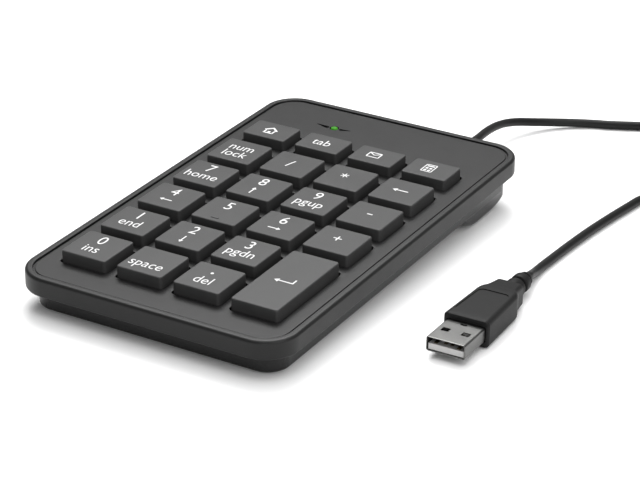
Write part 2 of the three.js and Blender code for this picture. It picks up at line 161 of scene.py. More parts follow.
COIL_LAYERS = 4
COIL_GAP = {"turns": 0.06, "below": 0.02, "outside": 0.05}
POINTS_A_TURN = 24
LAYER_CLIMB = 70  # degrees over which the cord climbs from one layer to the next
LEAD = 1.5  # how far a stretch of cord begins inside the piece that holds it


def coil_points():
    """The coil's centreline: four layers of turns, wound clockwise in, out, in and out again."""
    pitch = 2 * CORD_RADIUS + COIL_GAP["turns"]
    low = COIL["bottom"] + CORD_RADIUS + COIL_GAP["below"]
    outer = COIL["outer"] - CORD_RADIUS - COIL_GAP["outside"]
    sweep = COIL_TURNS * 360 + COIL_START - COIL_END
    count = round(sweep / 360 * POINTS_A_TURN)
    layer_sweep = sweep / COIL_LAYERS
    radial = pitch * layer_sweep / 360
    points = []
    for i in range(count + 1):
        done = sweep * i / count
        layer = min(int(done / layer_sweep), COIL_LAYERS - 1)
        part = done / layer_sweep - layer
        inwards = part if layer % 2 == 0 else 1 - part
        height = layer
        nearest = round(done / layer_sweep)
        if 0 < nearest < COIL_LAYERS:
            climb = max(0.0, min(1.0, (done - nearest * layer_sweep) / LAYER_CLIMB + 0.5))
            height = nearest - 1 + climb * climb * (3 - 2 * climb)
        radius = outer - radial * inwards
        angle = math.radians(COIL_START - done)
        x = COIL["x"] + radius * math.cos(angle)
        y = COIL["y"] + radius * math.sin(angle)
        points.append((x, y, low + pitch * height))
    return points


def led_in(route):
    """The route begun a little earlier, inside the piece that holds the cord."""
    first, second = Vector(route[0]), Vector(route[1])
    return [first + (first - second).normalized() * LEAD, *route]


def add_cord():
    route = led_in(FROM_CASE) + coil_points() + [BESIDE_COIL] + led_in(FROM_PLUG)[::-1]
    data = bpy.data.curves.new("cord", "CURVE")
    data.dimensions = "3D"
    data.bevel_depth = 1
    data.bevel_resolution = 5
    data.resolution_u = 6
    data.use_fill_caps = True
    spline = data.splines.new("BEZIER")
    spline.bezier_points.add(len(route) - 1)
    places = [Vector(p) * MM for p in route]
    for i, point in enumerate(spline.bezier_points):
        before = places[max(i - 1, 0)]
        after = places[min(i + 1, len(places) - 1)]
        along = (after - before).normalized()
        point.co = places[i]
        point.radius = CORD_RADIUS * MM
        point.handle_left = places[i] - along * (places[i] - before).length / 3
        point.handle_right = places[i] + along * (after - places[i]).length / 3
    cord = bpy.data.objects.new("cord", data)
    scene.collection.objects.link(cord)
    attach(cord, "case")
    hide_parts("cord_case_end", "cord_plug_end", "cord_coil")
    return cord


CORD = add_cord()

# ---- materials ----

GLOSS_DRIFT = 0.05


def new_material(name):
    material = bpy.data.materials.new(name)
    material.use_nodes = True
    return material, material.node_tree.nodes, material.node_tree.links


def grained(name, dark, light, roughness, grain=0.25, depth=0.02, mottle=6.0, **sockets):
    """Moulded plastic or rubber: a fine grain in the surface, a slow drift of colour and of gloss.

    grain is the size of the grain and mottle that of the drift, in millimetres, and depth is the grain's.
    Other names are sockets of the shader, with _ for each space."""
    material, nodes, links = new_material(name)
    shader = nodes["Principled BSDF"]
    where = nodes.new("ShaderNodeTexCoord").outputs["Object"]

    def noise(size, detail, rough):
        node = nodes.new("ShaderNodeTexNoise")
        node.inputs["Scale"].default_value = 1 / (size * MM)
        node.inputs["Detail"].default_value = detail
        node.inputs["Roughness"].default_value = rough
        links.new(where, node.inputs["Vector"])
        return node.outputs["Fac"]

    slow = noise(mottle, 3, 0.55)
    fine = noise(grain, 2, 0.65)
    tint = nodes.new("ShaderNodeValToRGB")
    tint.color_ramp.elements[0].position = 0.3
    tint.color_ramp.elements[0].color = (*dark, 1)
    tint.color_ramp.elements[1].position = 0.7
    tint.color_ramp.elements[1].color = (*light, 1)
    blend = nodes.new("ShaderNodeMath")
    blend.operation = "ADD"
    blend.use_clamp = True
    for i, (part, share) in enumerate([(slow, 0.6), (fine, 0.4)]):
        scaled = nodes.new("ShaderNodeMath")
        scaled.operation = "MULTIPLY"
        scaled.inputs[1].default_value = share
        links.new(part, scaled.inputs[0])
        links.new(scaled.outputs[0], blend.inputs[i])
    links.new(blend.outputs[0], tint.inputs["Fac"])
    links.new(tint.outputs["Color"], shader.inputs["Base Color"])

    gloss = nodes.new("ShaderNodeMapRange")
    gloss.inputs["To Min"].default_value = roughness - GLOSS_DRIFT
    gloss.inputs["To Max"].default_value = roughness + GLOSS_DRIFT
    links.new(slow, gloss.inputs["Value"])
    links.new(gloss.outputs["Result"], shader.inputs["Roughness"])

    bump = nodes.new("ShaderNodeBump")
    bump.inputs["Strength"].default_value = 1.0
    bump.inputs["Distance"].default_value = depth * MM
    links.new(fine, bump.inputs["Height"])
    links.new(bump.outputs["Normal"], shader.inputs["Normal"])
    for socket, value in sockets.items():
        shader.inputs[socket.replace("_", " ")].default_value = value
    return material


def grey(value, warmth=0.0):
    """A grey, as red, green and blue, a little warmer where warmth is over zero."""
    return (value * (1 + warmth), value, value * (1 - warmth))


DULL = {"Specular_IOR_Level": 0.25}
TOP_PLASTIC = grained("top_case_plastic", grey(0.006), grey(0.009), 0.42, grain=0.22, depth=0.012, **DULL)
BASE_PLASTIC = grained("bottom_case_plastic", grey(0.01), grey(0.013), 0.24, grain=0.4, depth=0.006, **DULL)
CAP_PLASTIC = grained("keycap_plastic", grey(0.036), grey(0.044), 0.42, grain=0.2, depth=0.014, **DULL)
LEGEND_INK = grained("legend_ink", grey(0.6), grey(0.68), 0.5, grain=0.15, depth=0.002)
FOOT_RUBBER = grained("foot_rubber", grey(0.012), grey(0.018), 0.8, grain=0.15, depth=0.02, **DULL)
CORD_RUBBER = grained(
    "cord_sheath", grey(0.008), grey(0.011), 0.4, grain=0.5, depth=0.008, mottle=12, Specular_IOR_Level=0.15
)
GRIP_RUBBER = grained(
    "plug_grip_rubber", grey(0.01), grey(0.014), 0.5, grain=0.2, depth=0.012, Specular_IOR_Level=0.11
)
DOME_RUBBER = grained("dome_rubber", grey(0.16), grey(0.2), 0.6)
FILM_PLASTIC = grained("film_plastic", (0.66, 0.68, 0.6), (0.74, 0.75, 0.68), 0.35, depth=0.002)
WHITE_PLASTIC = grained("white_plastic", grey(0.4, 0.01), grey(0.48, 0.01), 0.4, depth=0.004)
BOARD_GREEN = grained("board_green", (0.01, 0.1, 0.03), (0.016, 0.13, 0.04), 0.3, depth=0.003)
CHIP_BLACK = grained("chip_black", grey(0.01), grey(0.014), 0.5)
# The status light's green plastic with a faint emission: a painted glow. The plug lies on the desk, so the
# light is not lit.
PAINTED_GLOW_GREEN = grained(
    "light_green_painted_glow",
    (0.01, 0.08, 0.005),
    (0.05, 0.26, 0.015),
    0.4,
    mottle=0.8,
    depth=0.002,
    Specular_IOR_Level=0.08,
    Emission_Color=(0.12, 0.7, 0.03, 1),
    Emission_Strength=0.12,
)
NICKEL = grained(
    "nickel_plate", (0.12, 0.12, 0.117), (0.15, 0.15, 0.146), 0.36, grain=0.3, depth=0.0015, Metallic=1.0
)
ZINC = grained("zinc_plate", (0.5, 0.5, 0.48), (0.6, 0.6, 0.58), 0.35, depth=0.002, Metallic=1.0)
GOLD = grained("gold_plate", (0.13, 0.105, 0.065), (0.17, 0.14, 0.09), 0.3, depth=0.001, Metallic=1.0)

CORD.data.materials.append(CORD_RUBBER)

# ---- solids from rings of points ----


class Solid:
    """A closed mesh put together from rings of points, in millimetres of its own frame."""

    def __init__(self):
        self.points = []
        self.faces = []

    def ring(self, outline, height):
        """The outline's points at a height; returns their numbers."""
        first = len(self.points)
        self.points += [(x, y, height) for x, y in outline]
        return list(range(first, len(self.points)))

    def wall(self, a, b):
        """Faces between two rings of as many points."""
        count = len(a)
        for i in range(count):
            j = (i + 1) % count
            self.faces.append((a[i], a[j], b[j], b[i]))

    def stack(self, levels):
        """Walls between outlines given as (outline, height); returns the first and the last ring."""
        rings = [self.ring(outline, height) for outline, height in levels]
        for a, b in zip(rings, rings[1:]):
            self.wall(a, b)
        return rings[0], rings[-1]

    def cap(self, outer, holes=()):
        """A flat face inside a ring, with other rings as its holes."""
        if not holes:
            self.faces.append(tuple(outer))
            return
        loops = [outer, *holes]
        places = [[Vector(self.points[i]) for i in loop] for loop in loops]
        flat = [i for loop in loops for i in loop]
        self.faces += [tuple(flat[k] for k in corners) for corners in tessellate_polygon(places)]

    def mesh(self, name, place):
        """The mesh, with its points moved by the matrix place and its faces turned outwards."""
        mesh = bpy.data.meshes.new(name)
        mesh.from_pydata([tuple(place @ Vector(p)) for p in self.points], [], self.faces)
        made = bmesh.new()
        made.from_mesh(mesh)
        bmesh.ops.recalc_face_normals(made, faces=made.faces)
        made.to_mesh(mesh)
        made.free()
        return mesh


SHARP_FROM = 32  # degrees


def show(mesh, name, material, body, replaced=()):
    """Puts a mesh in the scene as a piece that rides a body and replaces CAD nodes."""
    mesh.polygons.foreach_set("use_smooth", [True] * len(mesh.polygons))
    mesh.set_sharp_from_angle(angle=math.radians(SHARP_FROM))
    piece = bpy.data.objects.new(name, mesh)
    scene.collection.objects.link(piece)
    mesh.materials.append(material)
    weighted = piece.modifiers.new("weighted", "WEIGHTED_NORMAL")
    weighted.keep_sharp = True
    weighted.weight = 80
    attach(piece, body)
    if replaced:
        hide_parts(*replaced)


def rounded(width, length, radius, segments=8, x=0.0, y=0.0):
    """A rectangle with round corners, as points anticlockwise from above."""
    points = []
    for quarter in range(4):
        cx = (width / 2 - radius) * (1 if quarter in (0, 3) else -1)
        cy = (length / 2 - radius) * (1 if quarter in (0, 1) else -1)
        for step in range(segments + 1):
            angle = math.radians(90 * (quarter + step / segments))
            points.append((x + cx + radius * math.cos(angle), y + cy + radius * math.sin(angle)))
    return points


def circle(radius, x=0.0, y=0.0, segments=24):
    angles = [2 * math.pi * i / segments for i in range(segments)]
    return [(x + radius * math.cos(angle), y + radius * math.sin(angle)) for angle in angles]


def fillet(start, end, steps, convex=True):
    """(inset, height) pairs round a quarter circle between two corners of a rim's section."""
    pairs = []
    for step in range(steps + 1):
        angle = math.pi / 2 * step / steps
        if convex:
            across, up = 1 - math.cos(angle), math.sin(angle)
        else:
            across, up = math.sin(angle), 1 - math.cos(angle)
        pairs.append((start[0] + (end[0] - start[0]) * across, start[1] + (end[1] - start[1]) * up))
    return pairs


def lathe(profile, segments=32):
    """A Solid turned about Z from (radius, height) pairs; the first and last radius are not zero."""
    made = Solid()
    first, last = made.stack([(circle(r, segments=segments), h) for r, h in profile])
    made.cap(first)
    made.cap(last)
    return made


# ---- the keys' plan ----

KEY_NAMES = [
    ["key_0", "key_space", "key_point"],
    ["key_1", "key_2", "key_3"],
    ["key_4", "key_5", "key_6", "key_plus"],
    ["key_7", "key_8", "key_9", "key_minus"],
    ["key_num_lock", "key_divide", "key_multiply", "key_backspace"],
    ["key_home", "key_tab", "key_mail", "key_calculator"],
]


def key_plan():
    """Every key as name: (x, y, depth, top). The back row's keys are short, and enter is two rows deep."""
    plan = {}
    for row, names in enumerate(KEY_NAMES):
        short = row == len(KEY_NAMES) - 1
        depth, top = (KEY["short"], KEY["short_top"]) if short else (KEY["depth"], KEY["top"])
        for column, name in enumerate(names):
            plan[name] = ((column - 1.5) * PITCH, FRONT_ROW_Y + row * PITCH, depth, top)
    plan["key_enter"] = (1.5 * PITCH, FRONT_ROW_Y + PITCH / 2, PITCH + KEY["depth"], KEY["top"])
    return plan


KEYS = key_plan()

# ---- top case ----


def case_outline(inset):
    corner = max(CASE["corner"] - inset, 0.5)
    return rounded(CASE["width"] - 2 * inset, CASE["length"] - 2 * inset, corner, segments=14)


def case_section():
    """The case's section, from the deck's underside round the outside and the band to the deck."""
    bottom, rim, wall = CASE["bottom"], CASE["rim"], CASE["wall"]
    groove_end = BAND + GROOVE["width"]
    section = [(wall, DECK_UNDERSIDE), (wall, bottom + 0.2), (wall - 0.2, bottom), (0.5, bottom)]
    section += fillet((0.5, bottom), (0, bottom + 0.5), 4, convex=False)[1:]
    section += fillet((0, -0.6), (1.0, rim), 6)
    section += fillet((BAND - 0.4, rim), (BAND, 0.02), 5, convex=False)
    section += [(BAND, -GROOVE["depth"]), (groove_end, -GROOVE["depth"])]
    section += fillet((groove_end, 0.08 - GROOVE["depth"]), (groove_end + GROOVE["round"], 0), 4)
    return section


def stroke_outline(x0, y0, x1, y1, wide, narrow):
    """A tapered stroke between two points, with round ends, wide at the first point."""
    along = Vector((x1 - x0, y1 - y0)).normalized()
    side = Vector((-along.y, along.x))
    steps = 8
    points = []
    for x, y, width, start in ((x0, y0, wide, math.pi / 2), (x1, y1, narrow, -math.pi / 2)):
        for i in range(steps + 1):
            angle = start + math.pi * i / steps
            out = along * math.cos(angle) + side * math.sin(angle)
            points.append(tuple(Vector((x, y)) + out * width / 2))
    return points


def drawn_in(outline, share):
    """An outline shrunk towards its middle."""
    mx = sum(p[0] for p in outline) / len(outline)
    my = sum(p[1] for p in outline) / len(outline)
    return [(x + (mx - x) * share, y + (my - y) * share) for x, y in outline]


def well_block(made):
    """The block below the deck that all the wells are sunk in; returns its upper and its lower edge."""
    around = WELL["clearance"] + WELL["wall"]
    half_width = 1.5 * PITCH + KEY["width"] / 2 + around
    front = FRONT_ROW_Y - KEY["depth"] / 2 - around
    back = FRONT_ROW_Y + 5 * PITCH + KEY["short"] / 2 + around
    outline = rounded(2 * half_width, back - front, 0.6, 2, y=(front + back) / 2)
    return made.stack([(outline, DECK_UNDERSIDE), (outline, WELL["bottom"])])


def sink_wells(made):
    """A well under each key, with its guide hole; returns their edges in the deck and under the block."""
    edge = 0.25
    deck_edges, guide_edges = [], []
    for x, y, depth, _ in KEYS.values():
        width, length = KEY["width"] + 2 * WELL["clearance"], depth + 2 * WELL["clearance"]
        levels = []
        for inset, height in fillet((-edge, 0), (0, -edge), 3, False):
            corner = KEY["corner"] + WELL["clearance"] - inset
            levels.append((rounded(width - 2 * inset, length - 2 * inset, corner, 4, x, y), height))
        side = 2 * (PLUNGER["half"] + PLUNGER["clearance"])
        guide = rounded(side, side, 0.3, 4, x, y)
        levels += [(levels[-1][0], WELL["floor"]), (guide, WELL["floor"]), (guide, WELL["bottom"])]
        first, last = made.stack(levels)
        deck_edges.append(first)
        guide_edges.append(last)
    return deck_edges, guide_edges


def sink_light(made):
    """The light's hole, a little wider at the deck; returns its upper and its lower edge."""
    mouth, hole = circle(LENS["hole"] + 0.15, *LIGHT), circle(LENS["hole"], *LIGHT)
    return made.stack([(mouth, 0), (hole, -0.15), (hole, DECK_UNDERSIDE)])


def sink_strokes(made):
    """The strokes beside the light; returns their edges in the deck."""
    edges = []
    for stroke in STROKES:
        outline = stroke_outline(*stroke)
        top, bottom = made.stack([(outline, 0), (drawn_in(outline, 0.06), -STROKE_DEPTH)])
        made.cap(bottom)
        edges.append(top)
    return edges


def screw_posts(made):
    """Hollow posts below the deck, one for each screw; returns their upper edges."""
    edges = []
    for y in SCREW_Y:
        for x in SCREW_X:
            outside, hole = circle(POST["radius"], x, y, 16), circle(POST["hole"], x, y, 16)
            levels = [(outside, DECK_UNDERSIDE), (outside, POST["bottom"])]
            first, last = made.stack(levels + [(hole, POST["bottom"]), (hole, POST["hole_top"])])
            made.cap(last)
            edges.append(first)
    return edges


def add_top_case():
    made = Solid()
    inner, deck = made.stack([(case_outline(inset), height) for inset, height in case_section()])
    block_top, block_bottom = well_block(made)
    deck_edges, guide_edges = sink_wells(made)
    light_top, light_bottom = sink_light(made)
    stroke_edges = sink_strokes(made)
    posts = screw_posts(made)
    made.cap(deck, [*deck_edges, light_top, *stroke_edges])
    made.cap(inner, [block_top, light_bottom, *posts])
    made.cap(block_bottom, guide_edges)
    show(made.mesh("top_shell", IN_CASE), "top_shell", TOP_PLASTIC, "case", ["top_case"])


add_top_case()

# ---- bottom case ----


def combine(name, first, others):
    """The first mesh, with others given as (mesh, operation) put through it in turn, as one new mesh."""
    base = bpy.data.objects.new(name, first)
    scene.collection.objects.link(base)
    helpers = []
    for i, (other, how) in enumerate(others):
        helper = bpy.data.objects.new(f"{name}_helper_{i}", other)
        scene.collection.objects.link(helper)
        helpers.append(helper)
        step = base.modifiers.new(f"step_{i}", "BOOLEAN")
        step.operation = how
        step.solver = "EXACT"
        step.object = helper
    bpy.context.view_layer.update()
    result = bpy.data.meshes.new_from_object(base.evaluated_get(bpy.context.evaluated_depsgraph_get()))
    result.name = name
    for thing in [base, *helpers]:
        bpy.data.objects.remove(thing)
    return result


def base_outline(inset):
    width, length = BASE["width"] - 2 * inset, BASE["length"] - 2 * inset
    return rounded(width, length, BASE["corner"] - inset, 10, y=BASE["y"])


def column(outline, bottom, top):
    """A straight Solid between two heights."""
    made = Solid()
    first, last = made.stack([(outline, bottom), (outline, top)])
    made.cap(first)
    made.cap(last)
    return made


def along_y(x, z, radius, start, end):
    """A round bar along Y, as a Solid."""
    made = column(circle(radius), start, end)
    made.points = [(x + px, h, z + py) for px, py, h in made.points]
    return made


def curved(p0, p1, p2, steps):
    """Points along a quadratic curve from p0 to p2 with its handle at p1."""
    points = []
    for i in range(steps + 1):
        t = i / steps
        shares = ((1 - t) ** 2, 2 * t * (1 - t), t * t)
        points.append(tuple(shares[0] * a + shares[1] * b + shares[2] * c for a, b, c in zip(p0, p1, p2)))
    return points


def hump_profile():
    """The hump's side view, as (y, z), rounded below at the front and, more fully, at the back."""
    start, flat, back, bottom = HUMP["start"], HUMP["flat"], HUMP["back"], HUMP["bottom"]
    low = BASE["bottom"] + 0.9
    points = [(start, HUMP_TOP)]
    points += curved((start, low), (start + 3.8, bottom), (flat[0], bottom), 10)
    points += curved((flat[1], bottom), (back, bottom), (back, HUMP["rise"]), 14)
    return points + [(back, HUMP_TOP)]


def hump_solid():
    """The rear hump: its side view drawn across the case, and drawn in at the two ends to round them."""
    edge = 1.6
    middle = Vector(((HUMP["start"] + HUMP["back"]) / 2, HUMP_TOP))
    right = [(inset, HUMP["width"] / 2 - edge + out) for inset, out in fillet((0, 0), (edge, edge), 5)]
    left = [(inset, -x) for inset, x in right]
    made = Solid()
    rings = []
    for inset, x in right[::-1] + left:
        first = len(made.points)
        for y, z in hump_profile():
            if z < HUMP_TOP:
                place = Vector((y, z))
                y, z = place + (middle - place).normalized() * inset
            made.points.append((x, y, z))
        rings.append(list(range(first, len(made.points))))
    for a, b in zip(rings, rings[1:]):
        made.wall(a, b)
    made.cap(rings[0])
    made.cap(rings[-1])
    return made


def foot_places():
    """Each foot's place in the case's frame, with z on the face that it is set in."""
    for (x, y), z in ((FRONT_FEET, BASE["bottom"]), (REAR_FEET, HUMP["bottom"])):
        yield -x, y, z
        yield x, y, z


def bottom_cuts():
    """The ledge that closes the case, then all that is cut from the tray, as (Solid, operation)."""
    steps = [(column(case_outline(2.1), -5.1, -4.1), "UNION")]
    steps.append((column(base_outline(BASE["wall"]), BASE["bottom"] + BASE["wall"], 0), "DIFFERENCE"))
    for y in SCREW_Y:
        for x in SCREW_X:
            bore = column(circle(SCREW_BORE["radius"], x, y), HUMP["bottom"] - 1.6, SCREW_BORE["top"])
            steps.append((bore, "DIFFERENCE"))
    for x, y, z in foot_places():
        steps.append((column(circle(FOOT["radius"] + 0.3, x, y, 40), z - 1, z + 1.1), "DIFFERENCE"))
    steps.append((along_y(EXIT["x"], EXIT["z"], EXIT["radius"], 60, 80), "DIFFERENCE"))
    return steps


def add_bottom_case():
    shell = Solid()
    section = [(0, BASE["top"]), *fillet((0, BASE["bottom"] + 1), (1.0, BASE["bottom"]), 5)]
    top, bottom = shell.stack([(base_outline(inset), height) for inset, height in section])
    shell.cap(top)
    shell.cap(bottom)
    within = column(base_outline(0.02), -20, -2).mesh("within", IN_CASE)
    hump = combine("hump", hump_solid().mesh("hump_start", IN_CASE), [(within, "INTERSECT")])
    steps = [(solid.mesh(f"step_{i}", IN_CASE), how) for i, (solid, how) in enumerate(bottom_cuts())]
    mesh = combine("bottom_shell", shell.mesh("bottom_start", IN_CASE), [(hump, "UNION"), *steps])
    show(mesh, "bottom_shell", BASE_PLASTIC, "case", ["bottom_case"])


add_bottom_case()


def add_feet():
    """Round pads with a rounded lower edge, level on the desk."""
    radius, edge = FOOT["radius"], 0.4
    profile = [(2.6, 0.12), (2.9, 0)]
    for i in range(6):
        angle = math.pi / 2 * i / 5
        profile.append((radius - edge + edge * math.sin(angle), edge - edge * math.cos(angle)))
    profile += [(radius, 0.5), (radius, FOOT["height"])]
    for i, (x, y, z) in enumerate(foot_places(), start=1):
        level_y = y * math.cos(TILT) - (z - FOOT["proud"]) * math.sin(TILT) + CASE_Y
        mesh = lathe(profile, 40).mesh(f"foot_pad_{i}", ON_DESK @ Matrix.Translation((x, level_y, 0)))
        show(mesh, f"foot_pad_{i}", FOOT_RUBBER, "case", [f"foot_{i}"])


add_feet()

# ---- keys ----


def add_keycap(name, x, y, depth, top):
    """A hollow cap with a rounded crown and, inside it, the square plunger that runs in its guide hole."""

    def plan(inset, corner=None):
        radius = KEY["corner"] - inset if corner is None else corner
        return rounded(KEY["width"] - 2 * inset, depth - 2 * inset, max(radius, 0.2), 6, x, y)

    made = Solid()
    wall, edge = KEY["wall"], 0.15
    ceiling = top - 1.4
    levels = [(plan(wall, 0.3), ceiling), (plan(wall, 0.3), SKIRT_BOTTOM)]
    levels += [(plan(edge), SKIRT_BOTTOM), (plan(0), SKIRT_BOTTOM + edge)]
    levels += [(plan(inset), height) for inset, height in fillet((0, top - 0.4), (0.4, top), 5)]
    inside, crown = made.stack(levels)
    made.cap(crown)
    side, chamfer = 2 * PLUNGER["half"], PLUNGER["chamfer"]
    square = rounded(side, side, 0.3, 6, x, y)
    small = rounded(side - 2 * chamfer, side - 2 * chamfer, 0.2, 6, x, y)
    root, tip = made.stack([(square, ceiling), (square, PLUNGER["end"] + chamfer), (small, PLUNGER["end"])])
    made.cap(inside, [root])
    made.cap(tip)
    if name == "key_5":
        add_bar(made, x - 0.2, y - 5.5, top)
    show(made.mesh(name + "_cap", IN_CASE), name + "_cap", CAP_PLASTIC, name, [name])


def add_bar(made, x, y, top):
    """The homing bar: a low round-ended ridge, sunk a little into the key's top."""
    width, length, corner = 2.8, 0.6, 0.29
    levels = []
    for inset, height in [(0, -0.1), (0, 0.06), (0.04, 0.13), (0.12, 0.18), (0.2, 0.2)]:
        outline = rounded(width - 2 * inset, length - 2 * inset, corner - inset, 6, x, y)
        levels.append((outline, top + height))
    low, high = made.stack(levels)
    made.cap(low)
    made.cap(high)


for key_name, key in KEYS.items():
    add_keycap(key_name, *key)

# ---- legends: generic marks and words, printed in white ----

WORD = 5.7  # size of the letters in a word
FIGURE = 6.5
THIN = -0.026  # how far the letters' outlines are drawn in
NARROW = 0.88  # how wide the letters are, as a share of the font's own width
INK = 0.03  # half the thickness of a mark
INK_RISE = 0.4 * INK  # from the key's top up to a mark's middle, so that its lower side is in the key
LINE = 0.4
FINE_LINE = 0.36
LONG_ARROW = {"head": 1.9, "thickness": 0.45}


def text_outline(words, size, x, y):
    """Words as a flat mesh in millimetres, centred on x with their baseline on y."""
    data = bpy.data.curves.new("words", "FONT")
    data.body = words
    data.size = size
    data.align_x = "CENTER"
    data.extrude = INK
    data.offset = THIN
    data.resolution_u = 4
    holder = bpy.data.objects.new("words", data)
    scene.collection.objects.link(holder)
    bpy.context.view_layer.update()
    mesh = bpy.data.meshes.new_from_object(holder.evaluated_get(bpy.context.evaluated_depsgraph_get()))
    bpy.data.objects.remove(holder)
    mesh.transform(Matrix.Translation((x, y, 0)) @ Matrix.Diagonal((NARROW, 1, 1, 1)))
    return mesh


def flat_shape(outline, holes=()):
    """A flat shape with holes, as a mesh of the ink's thickness."""
    made = Solid()
    low, high = made.stack([(outline, -INK), (outline, INK)])
    lows, highs = [], []
    for hole in holes:
        a, b = made.stack([(hole, -INK), (hole, INK)])
        lows.append(a)
        highs.append(b)
    made.cap(low, lows)
    made.cap(high, highs)
    return made.mesh("mark", Matrix.Identity(4))


def bar(x0, y0, x1, y1, thickness):
    """A straight stroke as a flat mesh."""
    along = Vector((x1 - x0, y1 - y0)).normalized() * thickness / 2
    side = Vector((-along.y, along.x))
    a, b = Vector((x0, y0)), Vector((x1, y1))
    return flat_shape([tuple(p) for p in (a - side, b - side, b + side, a + side)])


def arrow(x0, y0, x1, y1, head=1.55, thickness=0.42):
    """An arrow from the first point to the second; head is the width of its head."""
    start, tip = Vector((x0, y0)), Vector((x1, y1))
    along = (tip - start).normalized()
    side = Vector((-along.y, along.x))
    neck = tip - along * head * 0.75
    points = [start - side * thickness / 2, neck - side * thickness / 2, neck - side * head / 2, tip]
    points += [neck + side * head / 2, neck + side * thickness / 2, start + side * thickness / 2]
    return flat_shape([tuple(p) for p in points])


def frame_shape(width, height, line, x, y):
    """A rectangle drawn as a line, with round corners."""
    corner = 0.5
    outer = rounded(width, height, corner, 4, x, y)
    inner = rounded(width - 2 * line, height - 2 * line, corner - line, 4, x, y)
    return flat_shape(outer, [inner])


def star(x, y, reach, thickness):
    """An asterisk of six arms, as one outline: the two corners of each arm, then the notch after it."""
    points = []
    for arm in range(6):
        along = Matrix.Rotation(math.radians(60 * arm + 30), 2)
        between = Matrix.Rotation(math.radians(60 * arm + 60), 2)
        points += [along @ Vector((reach, side * thickness / 2)) for side in (-1, 1)]
        points.append(between @ Vector((thickness, 0)))
    return flat_shape([(x + p.x, y + p.y) for p in points])


def home_mark():
    roof = flat_shape([(-2.6, 0.1), (-2.0, -0.35), (-0.2, 1.35), (1.6, -0.35), (2.2, 0.1), (-0.2, 2.2)])
    walls = [bar(x, -0.3, x, -2.4, 0.5) for x in (-1.7, 1.3)]
    floor = bar(-1.9, -2.2, 1.5, -2.2, 0.5)
    door = bar(-0.2, -1.95, -0.2, -0.9, 0.9)
    return [roof, *walls, floor, door]


def mail_mark():
    flap = [bar(-2.85, 1.5, -0.9, 0.1, FINE_LINE), bar(-0.9, 0.1, 1.05, 1.5, FINE_LINE)]
    return [frame_shape(4.5, 3.5, 0.38, -0.9, 0.15), *flap]


def calculator_mark():
    """A frame round a display and two rows of two buttons."""
    middle = -0.8
    display = bar(middle - 1.2, 1.75, middle + 1.2, 1.75, 0.7)
    buttons = []
    for x in (middle - 0.65, middle + 0.65):
        buttons += [flat_shape(rounded(0.85, 0.9, 0.1, 3, x, y)) for y in (0.2, -1.25)]
    return [frame_shape(3.8, 5.2, 0.34, middle, 0.3), display, *buttons]


def plus_mark():
    """A level stroke, with the upright one's two halves below and above it."""
    x, y, reach, edge = -0.4, 1, 1.35, LINE / 2
    upright = [bar(x, y - reach, x, y - edge, LINE), bar(x, y + edge, x, y + reach, LINE)]
    return [bar(x - reach, y, x + reach, y, LINE), *upright]


def enter_mark():
    """A long arrow to the left with a stroke up from its tail."""
    x, y, edge = 3.2, -1.2, 0.23
    stroke = bar(x - edge, y + edge, x - edge, 1.0, LONG_ARROW["thickness"])
    return [arrow(x, y, -3.0, y, **LONG_ARROW), stroke]


def figure(text, y=1.3):
    return text_outline(text, FIGURE, -0.5, y)


def word(text, y=-3.7, x=-0.5):
    return text_outline(text, WORD, x, y)


def legends():
    """Each key's marks, in millimetres from the middle of its top."""
    return {
        "key_0": [figure("0", y=1.2), word("ins", -4.15)],
        "key_space": [word("space", -4.15)],
        "key_point": [flat_shape(circle(0.5, -0.6, 2.3, 16)), word("del", -4.2)],
        "key_1": [figure("1"), word("end")],
        "key_2": [figure("2"), arrow(-0.6, -0.9, -0.6, -4.9)],
        "key_3": [figure("3"), word("pgdn")],
        "key_4": [figure("4", y=1.0), arrow(1.7, -2.5, -2.5, -2.5)],
        "key_5": [figure("5", y=1.0)],
        "key_6": [figure("6", y=1.0), arrow(-2.8, -2.5, 1.4, -2.5)],
        "key_plus": plus_mark(),
        "key_7": [figure("7"), word("home")],
        "key_8": [figure("8"), arrow(-0.6, -5, -0.6, -1)],
        "key_9": [figure("9"), word("pgup")],
        "key_minus": [bar(-1.15, 0.55, 0.6, 0.55, 0.45)],
        "key_num_lock": [word("num", 0.5, -0.35), word("lock", -4.3, -0.35)],
        "key_divide": [bar(-1.3, -2.1, 0.0, 2.2, LINE)],
        "key_multiply": [star(-1.0, 1.1, 1.35, 0.32)],
        "key_backspace": [arrow(2.2, 0.35, -3.0, 0.35, **LONG_ARROW)],
        "key_home": home_mark(),
        "key_tab": [word("tab", -1.75)],
        "key_mail": mail_mark(),
        "key_calculator": calculator_mark(),
        "key_enter": enter_mark(),
    }


def add_legends():
    """Each key's marks, joined into one piece that rides with the key."""
    merge_within = 0.0005
    for name, marks in legends().items():
        x, y, _, top = KEYS[name]
        joined = bmesh.new()
        for mark in marks:
            mark.transform(Matrix.Translation((x, y, top + INK_RISE)))
            joined.from_mesh(mark)
            bpy.data.meshes.remove(mark)
        bmesh.ops.remove_doubles(joined, verts=joined.verts, dist=merge_within)
        mesh = bpy.data.meshes.new(name + "_legend")
        joined.to_mesh(mesh)
        joined.free()
        mesh.transform(IN_CASE)
        show(mesh, name + "_legend", LEGEND_INK, name)


add_legends()

# ---- status light ----


def add_lens():
    """A round rod with a low dome that stands a little proud of the deck."""
    radius, shoulder = LENS["radius"], LENS["shoulder"]
    profile = [(radius, LENS["bottom"]), (radius, shoulder)]
    for i in range(1, 6):
        angle = math.pi / 2 * i / 6
        profile.append((radius * math.cos(angle), shoulder + (LENS["top"] - shoulder) * math.sin(angle)))
    profile += [(0.12, LENS["top"])]
    mesh = lathe(profile).mesh("light_lens", IN_CASE @ Matrix.Translation((*LIGHT, 0)))
    # the lens takes the green with the painted glow
    show(mesh, "light_lens", PAINTED_GLOW_GREEN, "case", ["status_lens"])


add_lens()

# ---- plug ----

